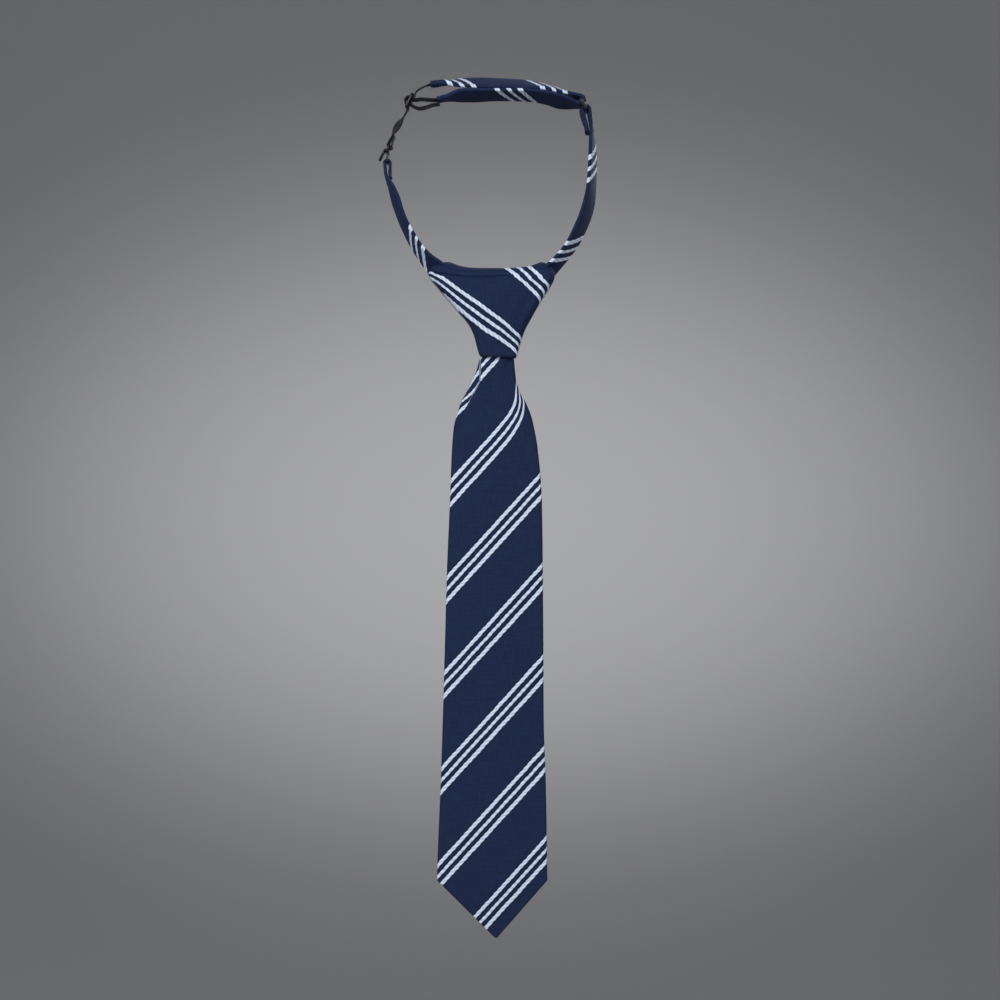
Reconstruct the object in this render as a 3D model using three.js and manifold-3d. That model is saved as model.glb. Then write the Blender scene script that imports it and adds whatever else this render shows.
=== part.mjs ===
import * as THREE from 'three';
import { mergeVertices } from 'three/addons/utils/BufferGeometryUtils.js';
import Module from 'manifold-3d';

// A child's pre-tied necktie, hanging by its fastened neck loop. Sizes are in millimetres.
// X runs to the right, Y away from the viewer and Z up. The origin is where the tie hangs:
// the middle of the inner layer's neck side, at the back of the neck.
const GAP = 0.3; // left between one piece and the next
const BAND_CLOTH = 2; // striped neck band: folded cloth over its interlining
const BAND_WIDTH = 18;
const LAP_CLOTH = 1.4; // the left band is thinner where it is lapped round the hook
const WEBBING = 0.9;
const WEBBING_WIDTH = 10;
const WIRE = 1.2; // bars of the slide, the eye and the hook
const RING_BAR = 1.8;
const RAIL_SHARE = 1.15; // side rails of a wire frame are this much thicker than its bars
const NECK_LENGTH = 11; // stretch of the blade that is held inside the knot
const BAND_POCKET = 6; // stretch of webbing that is sewn into the end of a band

const wasm = await Module();
wasm.setup();

const AWAY = new THREE.Vector3(0, 1, 0);

function toSolid(geometry) {
  const bare = geometry.clone();
  bare.deleteAttribute('normal');
  bare.deleteAttribute('uv');
  const merged = mergeVertices(bare, 1e-4);
  return new wasm.Manifold(new wasm.Mesh({
    numProp: 3,
    vertProperties: new Float32Array(merged.attributes.position.array),
    triVerts: new Uint32Array(merged.index.array),
  }));
}

function toGeometry(solid) {
  const mesh = solid.getMesh();
  const geometry = new THREE.BufferGeometry();
  geometry.setAttribute('position', new THREE.BufferAttribute(new Float32Array(mesh.vertProperties), 3));
  geometry.setIndex(new THREE.BufferAttribute(new Uint32Array(mesh.triVerts), 1));
  geometry.computeVertexNormals();
  return geometry;
}

function cut(body, ...tools) {
  return toGeometry(tools.map(toSolid).reduce((rest, tool) => rest.subtract(tool), toSolid(body)));
}

function join(...bodies) {
  return toGeometry(bodies.map(toSolid).reduce((whole, body) => whole.add(body)));
}

// Closes a row of rings, each with the same number of points, into one body.
function loft(rings) {
  const count = rings[0].length;
  const points = rings.flat();
  const faces = [];
  for (let r = 0; r < rings.length - 1; r += 1) {
    for (let i = 0; i < count; i += 1) {
      const next = (i + 1) % count;
      const [a, b, c, d] = [r * count + i, r * count + next, (r + 1) * count + next, (r + 1) * count + i];
      faces.push(a, c, b, a, d, c);
    }
  }
  for (const [ring, first, turn] of [[rings[0], 0, 1], [rings.at(-1), points.length - count, -1]]) {
    const middle = ring.reduce((sum, p) => sum.add(p), new THREE.Vector3()).divideScalar(count);
    points.push(middle);
    for (let i = 0; i < count; i += 1) {
      const pair = [first + i, first + ((i + 1) % count)];
      faces.push(points.length - 1, ...(turn > 0 ? pair : pair.reverse()));
    }
  }
  const geometry = new THREE.BufferGeometry().setFromPoints(points);
  geometry.setIndex(faces);
  return geometry;
}

// Reads a table's columns at any place between its first row, 0, and its last row, 1.
function readRow(rows, place) {
  const at = Math.min(place, 1) * (rows.length - 1);
  const low = Math.min(Math.floor(at), rows.length - 2);
  const share = at - low;
  const names = Object.keys(rows[0]);
  return Object.fromEntries(names.map((n) => [n, rows[low][n] * (1 - share) + rows[low + 1][n] * share]));
}

// A flat strap with rounded edges along its rows' line in the XZ plane, read clockwise round the
// neck. lean tips the width, so that a positive lean shows the outer face to the viewer.
function strap(rows, steps, spare = 0, edgeSteps = 4) {
  const line = new THREE.CatmullRomCurve3(rows.map((row) => new THREE.Vector3(row.x, row.y, row.z)));
  const rings = [];
  for (let s = 0; s <= steps; s += 1) {
    const { width, thick, lean } = readRow(rows, s / steps);
    const along = line.getTangent(s / steps).setY(0).normalize();
    const out = along.clone().cross(AWAY);
    const turn = THREE.MathUtils.degToRad(lean);
    const across = AWAY.clone().multiplyScalar(Math.cos(turn)).addScaledVector(out, Math.sin(turn));
    const up = out.clone().multiplyScalar(Math.cos(turn)).addScaledVector(AWAY, -Math.sin(turn));
    const half = (thick + spare) / 2;
    const flat = (width + spare) / 2 - half;
    const ring = [];
    for (const side of [1, -1]) {
      for (let k = 0; k <= edgeSteps; k += 1) {
        const angle = (side > 0 ? 90 : 270) - (k * 180) / edgeSteps;
        const bend = THREE.MathUtils.degToRad(angle);
        ring.push(line.getPoint(s / steps)
          .addScaledVector(across, side * flat + half * Math.cos(bend))
          .addScaledVector(up, half * Math.sin(bend)));
      }
    }
    rings.push(ring);
  }
  return loft(rings);
}

// Points of a strap's line where it bends round a bar, from one heading to another, clockwise.
function roundBar(bar, radius, fromDegrees, toDegrees, steps, row) {
  const points = [];
  for (let k = 0; k <= steps; k += 1) {
    const turn = THREE.MathUtils.degToRad(fromDegrees + ((toDegrees - fromDegrees) * k) / steps);
    points.push({ x: bar.x + radius * Math.cos(turn), z: bar.z + radius * Math.sin(turn), y: 0, ...row });
  }
  return points;
}

// One ring of a padded body: flat front and back with round corners, crowned to the front.
function paddedRing({ left, right, front, back, corner, crown, tilt = 0, sag = 0, z }) {
  const middle = (left + right) / 2;
  const half = (right - left) / 2;
  const round = Math.min(corner, half * 0.9, (back - front) / 2 - 0.01);
  const ring = [];
  const place = (x, y) => {
    const share = (x - middle) / half;
    const bulge = y < (front + back) / 2 ? crown * (1 - share * share) : 0;
    ring.push(new THREE.Vector3(x, y - bulge, z + tilt * share - sag * (1 - share ** 4)));
  };
  const bends = [[right, back, 0], [left, back, 90], [left, front, 180], [right, front, 270]];
  for (const [x, y, start] of bends) {
    const cx = x - Math.sign(x - middle) * round;
    const cy = y - Math.sign(y - (front + back) / 2) * round;
    for (let k = 0; k <= 3; k += 1) {
      const turn = THREE.MathUtils.degToRad(start + k * 30);
      place(cx + round * Math.cos(turn), cy + round * Math.sin(turn));
    }
    const steps = 6;
    if (start === 0 || start === 180) {
      for (let k = 1; k < steps; k += 1) {
        const from = middle + Math.sign(x - middle) * (half - round);
        place(from + ((2 * middle - 2 * from) * k) / steps, y);
      }
    }
  }
  return ring;
}

// Front blade: gathered into the knot, spreading over its shoulders, then straight to the
// corners and the mitred point. down is measured from the knot's lower edge.
const KNOT_BOTTOM = -153.5;
const BLADE_ROWS = [
  { down: -NECK_LENGTH, left: -5.9, right: 9.4, front: -5, back: 2.4, corner: 2.6, crown: 0 },
  { down: 0.9, left: -5.9, right: 9.4, front: -5, back: 2.4, corner: 2.6, crown: 0 },
  { down: 1.8, left: -9.8, right: 10.8, front: -4.6, back: 2.4, corner: 2.6, crown: 0.3 },
  { down: 7, left: -11.2, right: 11.2, front: -4.6, back: 2.2, corner: 2.5, crown: 0.6 },
  { down: 13, left: -13.6, right: 11.8, front: -4.2, back: 1.9, corner: 2.3, crown: 0.8 },
  { down: 20, left: -17.1, right: 13.6, front: -3.7, back: 1.6, corner: 2.1, crown: 0.9 },
  { down: 27, left: -20.7, right: 17.7, front: -3.3, back: 1.3, corner: 2, crown: 1 },
  { down: 34, left: -23, right: 20.7, front: -3, back: 1.1, corner: 1.9, crown: 1 },
  { down: 41, left: -24.8, right: 22.4, front: -2.8, back: 1, corner: 1.8, crown: 1 },
  { down: 55, left: -26, right: 24.8, front: -2.6, back: 1, corner: 1.7, crown: 1 },
  { down: 84, left: -27.1, right: 27.1, front: -2.4, back: 1, corner: 1.6, crown: 1 },
  { down: 126, left: -28.9, right: 27.7, front: -2.3, back: 1, corner: 1.6, crown: 1 },
  { down: 169, left: -30.1, right: 28, front: -2.3, back: 1, corner: 1.6, crown: 1 },
  { down: 211, left: -31.3, right: 28, front: -2.3, back: 1, corner: 1.6, crown: 1 },
  { down: 254, left: -32.7, right: 29.5, front: -2.3, back: 1, corner: 1.6, crown: 1 },
  { down: 289, left: -34.2, right: 30.1, front: -2.2, back: 1, corner: 1.5, crown: 0.9 },
  { down: 308.5, left: -34.8, right: 30.4, front: -2.1, back: 1, corner: 1.5, crown: 0.8 },
];
const TIP = { down: 342.3, left: -0.9, right: 0.9, front: -1.2, back: 1, corner: 1, crown: 0 };
const TIP_STEPS = 6;
// The fold down the left shoulder runs straight for its first part, then out to the edge.
const PLEAT = { depth: 1.5, reach: 46, side: 9.4, straight: 14, slant: 0.5, soft: 4 };

function bladeRing(row) {
  const ring = paddedRing({ ...row, z: KNOT_BOTTOM - row.down });
  // The cloth left of the pleat's crest lies a little deeper than the rest of the front.
  const crest = PLEAT.side + PLEAT.slant * Math.max(0, row.down - PLEAT.straight);
  const fade = Math.max(0, 1 - Math.abs(row.down - PLEAT.reach / 2) / (PLEAT.reach / 2));
  for (const point of ring) {
    const past = THREE.MathUtils.clamp((-point.x - crest) / PLEAT.soft + 0.5, 0, 1);
    if (point.y < -1) point.y += PLEAT.depth * fade * past;
  }
  return ring;
}

function frontBlade() {
  const rows = [...BLADE_ROWS];
  const corner = BLADE_ROWS.at(-1);
  for (let k = 1; k <= TIP_STEPS; k += 1) rows.push(readRow([corner, TIP], k / TIP_STEPS));
  return loft(rows.map(bladeRing));
}

// The same blade neck, a gap larger all round, hollows out the knot's lower end.
function bladeSocket() {
  const neck = BLADE_ROWS[0];
  const grown = {
    ...neck, left: neck.left - GAP, right: neck.right + GAP, front: neck.front - GAP, back: neck.back + GAP,
  };
  return loft([-NECK_LENGTH - GAP, 6].map((down) => paddedRing({ ...grown, z: KNOT_BOTTOM - down })));
}

// Knot: a stuffed wrap, wide at the top, its rim rolled back and sagging between the corners.
// down is measured at the middle from the rim; tilt drops the right end below the left.
const KNOT_RIM = -98.6;
const KNOT_ROWS = [
  { down: -1, left: -27, right: 27, front: -4, back: 4, corner: 3, crown: 0.5, tilt: 0, sag: 3.6 },
  { down: -0.6, left: -30, right: 29.5, front: -7.5, back: 6.5,
    corner: 4, crown: 0.8, tilt: -0.3, sag: 3.8 },
  { down: 1.6, left: -35, right: 33, front: -10, back: 8, corner: 5, crown: 1, tilt: -1, sag: 3 },
  { down: 5.4, left: -38.6, right: 34.6, front: -11.6, back: 8.6,
    corner: 5, crown: 1.4, tilt: -2.2, sag: 1.4 },
  { down: 10.6, left: -39.6, right: 31.8, front: -11.8, back: 9,
    corner: 5, crown: 1.8, tilt: -3.4, sag: 0.4 },
  { down: 16.8, left: -34.8, right: 27.9, front: -11.6, back: 9,
    corner: 5, crown: 2, tilt: -3.2, sag: 0 },
  { down: 23, left: -29, right: 24.7, front: -11.3, back: 8.6,
    corner: 4.8, crown: 2, tilt: -2.4, sag: 0 },
  { down: 30.6, left: -22.3, right: 20.5, front: -10.8, back: 8,
    corner: 4.6, crown: 1.8, tilt: -2.1, sag: 0 },
  { down: 37.6, left: -16.3, right: 16.9, front: -10, back: 7.4,
    corner: 4.2, crown: 1.6, tilt: -2, sag: 0 },
  { down: 44, left: -12.9, right: 14.9, front: -9.2, back: 6.6,
    corner: 3.8, crown: 1.3, tilt: -1.4, sag: 0 },
  { down: 49.8, left: -11.2, right: 13.4, front: -8.4, back: 6,
    corner: 3.4, crown: 1, tilt: -0.8, sag: 0 },
  { down: 54.3, left: -9.4, right: 12.4, front: -7.9, back: 5.6,
    corner: 3, crown: 0.8, tilt: -0.3, sag: 0 },
  { down: 55.1, left: -8.6, right: 11.8, front: -7.4, back: 5.1,
    corner: 2.8, crown: 0.7, tilt: -0.3, sag: 0 },
];

// Left neck band: from inside the knot up to the hook, where its end turns round the lap bar
// and lies against the band's neck side.
const HOOK_TOP = { x: -64.6, z: -32.9 }; // the eye's lower bar, which the hook holds
const LAP_BAR = { x: -63.9, z: -39.2 };
const LEFT_ROWS = [
  { x: -26, z: -109.4, y: -1, width: 15, thick: BAND_CLOTH, lean: 36 },
  { x: -31, z: -105.2, y: -1, width: 17, thick: BAND_CLOTH, lean: 36 },
  { x: -36, z: -100.8, y: -0.5, width: BAND_WIDTH, thick: BAND_CLOTH, lean: 31 },
  { x: -40.9, z: -95.9, y: 0, width: BAND_WIDTH, thick: BAND_CLOTH, lean: 22 },
  { x: -45.9, z: -89.6, y: 0, width: BAND_WIDTH, thick: BAND_CLOTH, lean: 17 },
  { x: -50.2, z: -82.4, y: 0, width: BAND_WIDTH, thick: BAND_CLOTH, lean: 15 },
  { x: -53.9, z: -75.2, y: 0, width: BAND_WIDTH, thick: BAND_CLOTH, lean: 13 },
  { x: -56.8, z: -68, y: 0, width: BAND_WIDTH, thick: BAND_CLOTH, lean: 13 },
  { x: -59.2, z: -60.4, y: 0, width: 17, thick: BAND_CLOTH, lean: 15 },
  { x: -61.8, z: -53, y: 0, width: 14, thick: 1.7, lean: 12 },
  { x: -64.5, z: -47, y: 0, width: WEBBING_WIDTH, thick: LAP_CLOTH, lean: 5 },
];
const LAP_RADIUS = WIRE / 2 + GAP + LAP_CLOTH / 2;
const LEFT_LAP = { width: WEBBING_WIDTH, thick: LAP_CLOTH, lean: 0 };
const LEFT_LAP_END = [
  { x: -62.4, z: -42.4, y: 0, ...LEFT_LAP },
  { x: -62.6, z: -45.2, y: 0, ...LEFT_LAP },
  { x: -62, z: -48.2, y: 0, ...LEFT_LAP },
];

function leftNeckBand(spare = 0) {
  const lap = roundBar(LAP_BAR, LAP_RADIUS, 180, 0, 6, LEFT_LAP);
  const [end, ...rest] = LEFT_ROWS;
  const start = { ...end, x: end.x + spare, z: end.z - spare };
  return strap([start, ...rest, ...lap, ...LEFT_LAP_END], 76, spare);
}

// Right neck band: its lapped end lies on the neck side below the ring, turns round the ring's
// lower bar, and the band runs down into the knot.
const RING_TOP = { x: 49.6, z: -2.7 };
const RING_BOTTOM = { x: 52.8, z: -8.6 };
const BAND_RADIUS = RING_BAR / 2 + GAP + BAND_CLOTH / 2;
const PLAIN = { width: BAND_WIDTH, thick: BAND_CLOTH };
const RIGHT_LAP_END = [
  { x: 53.8, z: -21.5, y: 0, ...PLAIN, lean: -5 },
  { x: 53.4, z: -17.5, y: 0, ...PLAIN, lean: -3 },
  { x: 51.8, z: -13, y: 0, ...PLAIN, lean: 0 },
];
const RIGHT_ROWS = [
  { x: 55.6, z: -13, y: 0, ...PLAIN, lean: 1 },
  { x: 56.2, z: -18.5, y: 0, ...PLAIN, lean: 3 },
  { x: 56.7, z: -24.5, y: 0, ...PLAIN, lean: 8 },
  { x: 57, z: -31, y: 0, ...PLAIN, lean: 12 },
  { x: 57, z: -39, y: 0, ...PLAIN, lean: 14 },
  { x: 56.6, z: -47.8, y: 0, ...PLAIN, lean: 15 },
  { x: 56.1, z: -55, y: 0, ...PLAIN, lean: 17 },
  { x: 55, z: -62, y: 0, ...PLAIN, lean: 20 },
  { x: 52.9, z: -69.6, y: 0, ...PLAIN, lean: 21 },
  { x: 49.9, z: -77, y: 0, ...PLAIN, lean: 21 },
  { x: 46.2, z: -84.6, y: 0, ...PLAIN, lean: 20 },
  { x: 41.9, z: -91.1, y: 0, ...PLAIN, lean: 18 },
  { x: 36.4, z: -97.6, y: 0, ...PLAIN, lean: 19 },
  { x: 30.6, z: -103.6, y: -0.5, ...PLAIN, lean: 22 },
  { x: 24.5, z: -109, y: -1, width: 15, thick: BAND_CLOTH, lean: 24 },
];

function rightNeckBand(spare = 0) {
  const lap = roundBar(RING_BOTTOM, BAND_RADIUS, 175, 5, 6, { ...PLAIN, lean: 0 });
  const end = RIGHT_ROWS.at(-1);
  const last = { ...end, x: end.x - spare, z: end.z - spare };
  return strap([...RIGHT_LAP_END, ...lap, ...RIGHT_ROWS.slice(0, -1), last], 84, spare);
}

// Back band: its outer layer runs over the back of the neck to the ring's upper bar, turns
// round it, and comes back as the inner layer. Both left ends hold sewn-in webbing.
const BAND_END = { width: 13, thick: 3.2, lean: 3 };
const OUTER_ROWS = [
  { x: -38.5, z: 7.2, y: 0, ...BAND_END },
  { x: -31, z: 8.2, y: 0, ...BAND_END, lean: 6 },
  { x: -24, z: 8.6, y: 0, width: 16, thick: 2.4, lean: 13 },
  { x: -12.4, z: 8.4, y: 0, ...PLAIN, lean: 19 },
  { x: 2.4, z: 8.1, y: 0, ...PLAIN, lean: 22 },
  { x: 17.1, z: 7.4, y: 0, ...PLAIN, lean: 20 },
  { x: 28.9, z: 6, y: 0, ...PLAIN, lean: 14 },
  { x: 38, z: 3.6, y: 0, ...PLAIN, lean: 9 },
  { x: 45, z: 1.1, y: 0, ...PLAIN, lean: 3 },
];
const INNER_ROWS = [
  { x: 44.4, z: -4, y: 0, ...PLAIN, lean: 3 },
  { x: 38, z: -2.6, y: 0, ...PLAIN, lean: 5 },
  { x: 29, z: -0.2, y: 0, ...PLAIN, lean: 5 },
  { x: 18, z: 0.8, y: 0, ...PLAIN, lean: 6 },
  { x: 0, z: BAND_CLOTH / 2, y: 0, ...PLAIN, lean: 6 },
  { x: -12.4, z: 0.6, y: 0, ...PLAIN, lean: 6 },
  { x: -22, z: -0.4, y: 0, width: 16, thick: 2.4, lean: 4 },
  { x: -29, z: -1.4, y: 0, ...BAND_END, lean: 2 },
  { x: -34.8, z: -2, y: 0, ...BAND_END, lean: 0 },
];

function backBand() {
  const turn = roundBar(RING_TOP, BAND_RADIUS, 62, -110, 7, { ...PLAIN, lean: 0 });
  return strap([...OUTER_ROWS, ...turn, ...INNER_ROWS], 96);
}

// Adjuster webbing: lapped round the eye's upper bar, up through the slide and into the end of
// the outer layer. In the slide it lies over the middle bar and under the other two.
const SLIDE = { x: -51, z: -2.7, heading: 245, pitch: 4.3 }; // pitch is from bar to bar
const EYE_TOP = { x: -62.5, z: -29.2 };
const TAPE = { width: WEBBING_WIDTH, thick: WEBBING };
const TAPE_RADIUS = WIRE / 2 + GAP + WEBBING / 2;
const OVER_RADIUS = TAPE_RADIUS + WEBBING + GAP; // over the bar and the slide loop round it
const heading = THREE.MathUtils.degToRad(SLIDE.heading);
const slideAlong = new THREE.Vector3(Math.cos(heading), 0, Math.sin(heading));
const slideOut = slideAlong.clone().cross(AWAY).negate();

// A row of webbing at the slide, by its place along the slide and its height off its plane.
function atSlide(along, off) {
  const x = SLIDE.x + slideAlong.x * along + slideOut.x * off;
  const z = SLIDE.z + slideAlong.z * along + slideOut.z * off;
  return { x, z, y: 0, ...TAPE, lean: 0 };
}

// The webbing's way from under one outer bar to over the middle of the slide.
function weave() {
  const lean = Math.acos((TAPE_RADIUS + OVER_RADIUS) / SLIDE.pitch);
  const rows = [];
  for (const turn of [-Math.PI / 2, -Math.PI / 3, -Math.PI / 5, -lean]) {
    rows.push([SLIDE.pitch - TAPE_RADIUS * Math.cos(turn), TAPE_RADIUS * Math.sin(turn)]);
  }
  for (const turn of [lean, Math.PI / 4, Math.PI / 3]) {
    rows.push([OVER_RADIUS * Math.cos(turn), OVER_RADIUS * Math.sin(turn)]);
  }
  return rows;
}

function adjusterWebbing(spare = 0) {
  const lap = roundBar(EYE_TOP, TAPE_RADIUS, -20, -200, 6, { ...TAPE, lean: 0 });
  const half = weave();
  const rows = [
    { x: -59.7, z: -23.2, y: 0, ...TAPE, lean: 0 },
    { x: -60.9, z: -26.2, y: 0, ...TAPE, lean: 0 },
    ...lap,
    { x: -62.6, z: -26.2, y: 0, ...TAPE, lean: 0 },
    { x: -60.9, z: -22.6, y: 0, ...TAPE, lean: 8 },
    { x: -59, z: -19, y: 0, ...TAPE, lean: 24 },
    { x: -57, z: -15.4, y: 0, ...TAPE, lean: 24 },
    { x: -54.6, z: -11.9, y: 0, ...TAPE, lean: 8 },
    ...half.map(([along, off]) => atSlide(along, off)),
    atSlide(0, OVER_RADIUS),
    ...half.reverse().map(([along, off]) => atSlide(-along, off)),
    { x: -46.6, z: 3.4, y: 0, ...TAPE, lean: 10 },
    { x: -43, z: 5.8, y: 0, ...TAPE, lean: 12 },
    { x: -38.5, z: 7.2, y: 0, ...TAPE, lean: 4 },
    { x: OUTER_ROWS[0].x + BAND_POCKET - (spare ? 0 : GAP), z: 8, y: 0, ...TAPE, lean: 5 },
  ];
  return strap(rows, 112, spare, 2);
}

// Slide loop: a short piece of webbing from the inner layer's end round the slide's middle bar
// and back, where its free end lies under the band's end. It bellies out into a small eyelet.
function slideLoop(spare = 0) {
  const up = (SLIDE.heading + 180) % 360;
  const round = roundBar(SLIDE, TAPE_RADIUS, up - 180, up, 8, { ...TAPE, lean: 0 }).reverse();
  const rows = [
    { x: INNER_ROWS.at(-1).x + BAND_POCKET - (spare ? 0 : GAP), z: -1.1, y: 0, ...TAPE, lean: 2 },
    { x: -34.8, z: -2, y: 0, ...TAPE, lean: 0 },
    { x: -39, z: -1.8, y: 0, ...TAPE, lean: 0 },
    { x: -44, z: -1.4, y: 0, ...TAPE, lean: 0 },
    { x: -48, z: -1.9, y: 0, ...TAPE, lean: 0 },
    ...round,
    { x: -48.6, z: -5.7, y: 0, ...TAPE, lean: 0 },
    { x: -45.4, z: -6.9, y: 0, ...TAPE, lean: 0 },
    { x: -41, z: -6.2, y: 0, ...TAPE, lean: 0 },
    { x: -37, z: -4.8, y: 0, ...TAPE, lean: 0 },
    { x: -33, z: -4.3, y: 0, ...TAPE, lean: 0 },
  ];
  return strap(rows, 72, spare, 2);
}

// A flat wire frame with its bars across Y and a rail along each side. bars lists the bars'
// places along the heading.
function wireFrame({ x, z, headingDegrees, bars, inner, wire }) {
  const rail = wire * RAIL_SHARE;
  const side = (inner + rail) / 2;
  const [first, last] = [bars[0], bars.at(-1)];
  const crossBars = bars.map((place) => new THREE.CylinderGeometry(wire / 2, wire / 2, inner + rail, 10)
    .translate(place, 0, 0));
  const rails = [-side, side].map((y) => new THREE.BoxGeometry(last - first + rail, rail, rail)
    .translate((first + last) / 2, y, 0));
  const frame = join(...crossBars, ...rails);
  const turn = THREE.MathUtils.degToRad(headingDegrees);
  const along = new THREE.Vector3(Math.cos(turn), 0, Math.sin(turn));
  frame.applyMatrix4(new THREE.Matrix4().makeBasis(along, AWAY, along.clone().cross(AWAY)));
  return frame.translate(x, 0, z);
}

const TAPE_SPACE = WEBBING_WIDTH + 1;
const BAND_SPACE = BAND_WIDTH + 1;

// A frame with one bar at each of two points, such as the ring and the eye.
function frameBetween(from, to, inner, wire) {
  const length = Math.hypot(to.x - from.x, to.z - from.z);
  const headingDegrees = THREE.MathUtils.radToDeg(Math.atan2(to.z - from.z, to.x - from.x));
  return wireFrame({ x: from.x, z: from.z, headingDegrees, bars: [0, length], inner, wire });
}

// Hook: a frame that the left band is lapped on, and a tongue that runs up the neck side of the
// eye's lower bar, over it, and down to a tip that stands away from the band.
const HOOK = { tongue: 8, tip: 5, frame: 3.3 }; // frame is from its lap bar to its upper bar
function hook() {
  const radius = WIRE / 2 + GAP + WIRE / 2;
  const root = { x: LAP_BAR.x, z: LAP_BAR.z + HOOK.frame };
  const plate = { thick: WIRE, lean: 0, y: 0 };
  const tongue = strap([
    { x: -68.4, z: -37.3, ...plate, width: HOOK.tip },
    { x: -67, z: -34.6, ...plate, width: HOOK.tongue },
    ...roundBar(HOOK_TOP, radius, 150, -30, 8, { ...plate, width: HOOK.tongue }),
    { ...root, ...plate, width: HOOK.tongue },
  ], 44);
  return join(tongue, frameBetween(root, LAP_BAR, TAPE_SPACE, WIRE));
}

const navy = { color: 0x222d48, roughness: 0.85, metalness: 0 };
const black = { color: 0x16171a, roughness: 0.8, metalness: 0 };
const hard = { color: 0x101114, roughness: 0.35, metalness: 0 };

const webbing = adjusterWebbing();
const slideWebbing = slideLoop();
const pieces = {
  front_blade: [frontBlade(), navy],
  knot: [cut(loft(KNOT_ROWS.map((row) => paddedRing({ ...row, z: KNOT_RIM - row.down }))),
    bladeSocket(), leftNeckBand(2 * GAP), rightNeckBand(2 * GAP)), navy],
  left_neck_band: [leftNeckBand(), navy],
  right_neck_band: [rightNeckBand(), navy],
  back_band: [cut(backBand(), adjusterWebbing(2 * GAP), slideLoop(2 * GAP)), navy],
  adjuster_webbing: [webbing, black],
  slide_loop: [slideWebbing, black],
  slide_adjuster: [wireFrame({
    x: SLIDE.x, z: SLIDE.z, headingDegrees: SLIDE.heading, bars: [-SLIDE.pitch, 0, SLIDE.pitch],
    inner: TAPE_SPACE, wire: WIRE,
  }), hard],
  eye: [frameBetween(EYE_TOP, HOOK_TOP, TAPE_SPACE, WIRE), hard],
  hook: [hook(), hard],
  band_ring: [frameBetween(RING_TOP, RING_BOTTOM, BAND_SPACE, RING_BAR), hard],
};

const group = new THREE.Group();
for (const [name, [geometry, finish]] of Object.entries(pieces)) {
  const mesh = new THREE.Mesh(geometry, new THREE.MeshStandardMaterial(finish));
  mesh.name = name;
  group.add(mesh);
}

export default group;
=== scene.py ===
import math

import bpy
import numpy as np
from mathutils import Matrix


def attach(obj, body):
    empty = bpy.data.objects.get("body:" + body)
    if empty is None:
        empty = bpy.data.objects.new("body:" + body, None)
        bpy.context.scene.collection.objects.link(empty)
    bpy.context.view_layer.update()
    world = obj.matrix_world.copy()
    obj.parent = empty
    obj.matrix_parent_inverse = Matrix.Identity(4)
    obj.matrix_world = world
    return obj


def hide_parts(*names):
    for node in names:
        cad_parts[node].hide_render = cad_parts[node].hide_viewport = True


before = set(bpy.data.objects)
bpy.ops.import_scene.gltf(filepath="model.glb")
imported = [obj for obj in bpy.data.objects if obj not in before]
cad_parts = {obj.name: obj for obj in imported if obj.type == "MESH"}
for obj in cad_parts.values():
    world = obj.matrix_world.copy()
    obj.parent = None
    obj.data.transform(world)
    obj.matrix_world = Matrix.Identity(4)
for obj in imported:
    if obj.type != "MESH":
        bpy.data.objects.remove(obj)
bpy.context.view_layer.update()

# The front blade is striped cloth folded round a soft interlining. Its two sides are folded to
# the back and slip-stitched down the middle, and its point is mitred over a facing of the same
# cloth. Its top is gathered, with one pleat, and held inside the knot.
MM = 0.001
KNOT_BOTTOM = -153.5
# down from the knot, left, right, front, back, crown
BLADE_ROWS = (
    (-9.0, -6.2, 9.2, -4.8, 2.2, 0.2),
    (-1.0, -8.0, 10.0, -5.0, 2.4, 0.3),
    (1.5, -9.6, 10.7, -4.8, 2.4, 0.4),
    (7.0, -11.2, 11.2, -4.6, 2.2, 0.6),
    (13.0, -13.6, 11.9, -4.2, 1.9, 0.8),
    (20.0, -17.1, 13.8, -3.7, 1.6, 0.9),
    (27.0, -20.7, 17.7, -3.3, 1.3, 1.0),
    (34.0, -23.0, 20.6, -3.0, 1.1, 1.0),
    (41.0, -24.8, 22.4, -2.8, 1.0, 1.0),
    (55.0, -26.0, 24.8, -2.6, 1.0, 1.0),
    (84.0, -27.1, 27.1, -2.4, 1.0, 1.0),
    (126.0, -28.9, 27.7, -2.3, 1.0, 1.0),
    (169.0, -30.1, 28.0, -2.3, 1.0, 1.0),
    (211.0, -31.3, 28.2, -2.3, 1.0, 1.0),
    (254.0, -32.7, 29.5, -2.3, 1.0, 1.0),
    (289.0, -34.2, 30.1, -2.2, 1.0, 0.9),
    (308.5, -34.8, 30.4, -2.1, 1.0, 0.8),
)
BLADE_TIP = (342.3, -0.9, 0.9, -1.2, 1.0, 0.0)
BODY_ROWS = 300
POINT_ROWS = 44
# Points round one ring: each flap, each edge, the front, and the facing between the flaps.
FLAP_POINTS = 24
EDGE_POINTS = 10
FRONT_POINTS = 72
FACING_POINTS = 12
FRONT_FIRST = FLAP_POINTS + EDGE_POINTS
FACING_FIRST = 2 * FRONT_FIRST + FRONT_POINTS + 1
FACING_CLOTH = 200.0  # the facing is cut this far across the cloth from the blade's middle

FLAPS_MEET = 262.0  # down from the knot, where the folded sides meet over the facing
HEM = 10.9  # level width of the hem along the point's two slanting edges
FLAP_STEP = 0.8  # the facing lies this much deeper than the flaps
SEAM_STEP = 0.35  # depth of the groove where the flaps meet
LAP_RISE = 0.3  # the right flap laps over the left by this much
FLAP_CROWN = 0.25

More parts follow.
